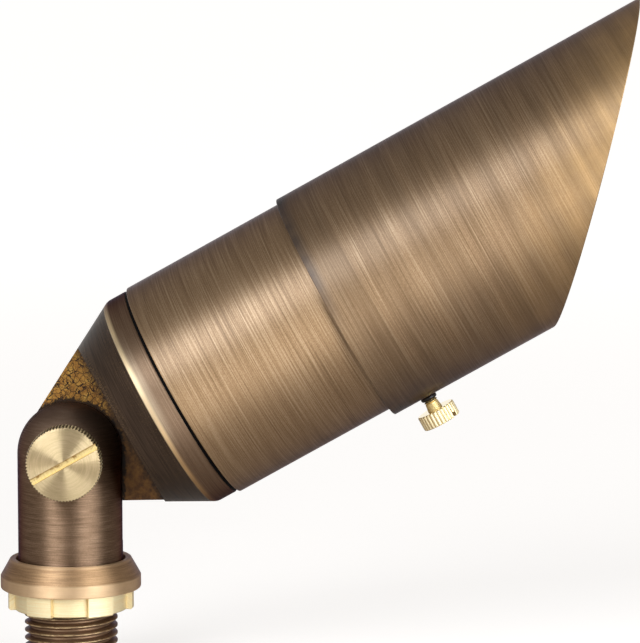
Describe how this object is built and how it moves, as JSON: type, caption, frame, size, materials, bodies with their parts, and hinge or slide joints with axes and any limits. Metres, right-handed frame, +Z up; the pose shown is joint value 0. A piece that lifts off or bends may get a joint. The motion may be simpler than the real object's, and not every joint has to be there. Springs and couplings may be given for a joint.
{
  "type": "outdoor spotlight",
  "caption": "Brass landscape spotlight: a threaded stem with a tilting knuckle carries a sealed lamp housing with a slanted slip-on glare shroud.",
  "frame": {"origin": "centre of the lower end of the stem's thread", "axes": "+Z up along the stem, +X the way the head points at rest, the thumb screw of the knuckle faces -Y"},
  "size_m": [0.145, 0.0558, 0.1536],
  "materials": {
    "bronze": "antique bronze patina, brushed around the axis",
    "dark_bronze": "dark bronze patina, brushed around the axis",
    "raw_brass": "bare machined brass",
    "black_rubber": "black silicone rubber",
    "nylon": "black nylon",
    "lens_glass": "clear tempered glass",
    "lamp_aluminium": "cast aluminium",
    "lamp_plastic": "white heat-resistant plastic",
    "board_white": "white solder mask",
    "optic_clear": "clear moulded optic",
    "socket_ceramic": "glazed ceramic",
    "plated_steel": "zinc plate",
    "lead_insulation": "silicone wire insulation"
  },
  "bodies": {
    "base": {"knuckle_post": "dark_bronze", "knuckle_seal": "black_rubber"},
    "collar": {"base_collar": "bronze"},
    "nut": {"lock_nut": "raw_brass"},
    "washer": {"knuckle_washer": "nylon"},
    "knuckle_screw": {"knuckle_thumb_screw": "raw_brass"},
    "head": {"rear_cap": "bronze", "lamp_heat_sink": "lamp_aluminium", "lamp_base": "lamp_plastic", "lamp_pins": "plated_steel", "lamp_led_board": "board_white", "lamp_optic": "optic_clear", "lamp_socket": "socket_ceramic", "socket_bracket": "plated_steel", "bracket_screws": "plated_steel", "socket_leads": "lead_insulation", "wire_seal": "black_rubber"},
    "seam_gasket": {"cap_gasket": "black_rubber"},
    "housing": {"barrel": "bronze", "lens": "lens_glass", "lens_gasket": "black_rubber", "lens_retaining_ring": "raw_brass"},
    "glare_shroud": {"shroud": "bronze"},
    "screw_o_ring": {"shroud_screw_o_ring": "black_rubber"},
    "shroud_screw": {"shroud_thumb_screw": "raw_brass"}
  },
  "joints": [
    {"name": "head_tilt", "type": "hinge", "parent": "base", "child": "head", "pos_m": [0, 0, 0.05], "axis": [0, -1, 0], "range_deg": [-29.2, 150.8]},
    {"name": "collar_drop", "type": "slide", "parent": "base", "child": "collar", "axis": [0, 0, -1], "range_m": [0, 0.00181]},
    {"name": "lock_nut_turn", "type": "hinge", "parent": "collar", "child": "nut", "pos_m": [0, 0, 0.0165], "axis": [0, 0, -1], "range_deg": [0, 360.6]},
    {"name": "washer_back_off", "type": "slide", "parent": "base", "child": "washer", "axis": [0, -1, 0], "range_m": [0, 0.002]},
    {"name": "knuckle_screw_turn", "type": "hinge", "parent": "washer", "child": "knuckle_screw", "pos_m": [0, -0.0158, 0.05], "axis": [0, -1, 0], "range_deg": [0, 720.6]},
    {"name": "gasket_travel", "type": "slide", "parent": "head", "child": "seam_gasket", "axis": [0.8729, 0, 0.4879], "range_m": [0, 0.0045]},
    {"name": "barrel_turn", "type": "hinge", "parent": "seam_gasket", "child": "housing", "pos_m": [0.05237, 0, 0.07927], "axis": [0.8729, 0, 0.4879], "range_deg": [0, 1080.6]},
    {"name": "shroud_slide", "type": "slide", "parent": "housing", "child": "glare_shroud", "axis": [0.8729, 0, 0.4879], "range_m": [-0.025, 0.012]},
    {"name": "o_ring_back_off", "type": "slide", "parent": "glare_shroud", "child": "screw_o_ring", "axis": [0.4879, 0, -0.8729], "range_m": [0, 0.00075]},
    {"name": "shroud_screw_turn", "type": "hinge", "parent": "screw_o_ring", "child": "shroud_screw", "pos_m": [0.08425, 0, 0.05894], "axis": [0.4879, 0, -0.8729], "range_deg": [0, 540.6]}
  ],
  "couplings": [
    {"joint": "lock_nut_turn", "follows": "collar_drop", "rad_per_m": 3463.7},
    {"joint": "knuckle_screw_turn", "follows": "washer_back_off", "rad_per_m": 6283.2},
    {"joint": "barrel_turn", "follows": "gasket_travel", "rad_per_m": 4188.8},
    {"joint": "shroud_screw_turn", "follows": "o_ring_back_off", "rad_per_m": 12566}
  ]
}
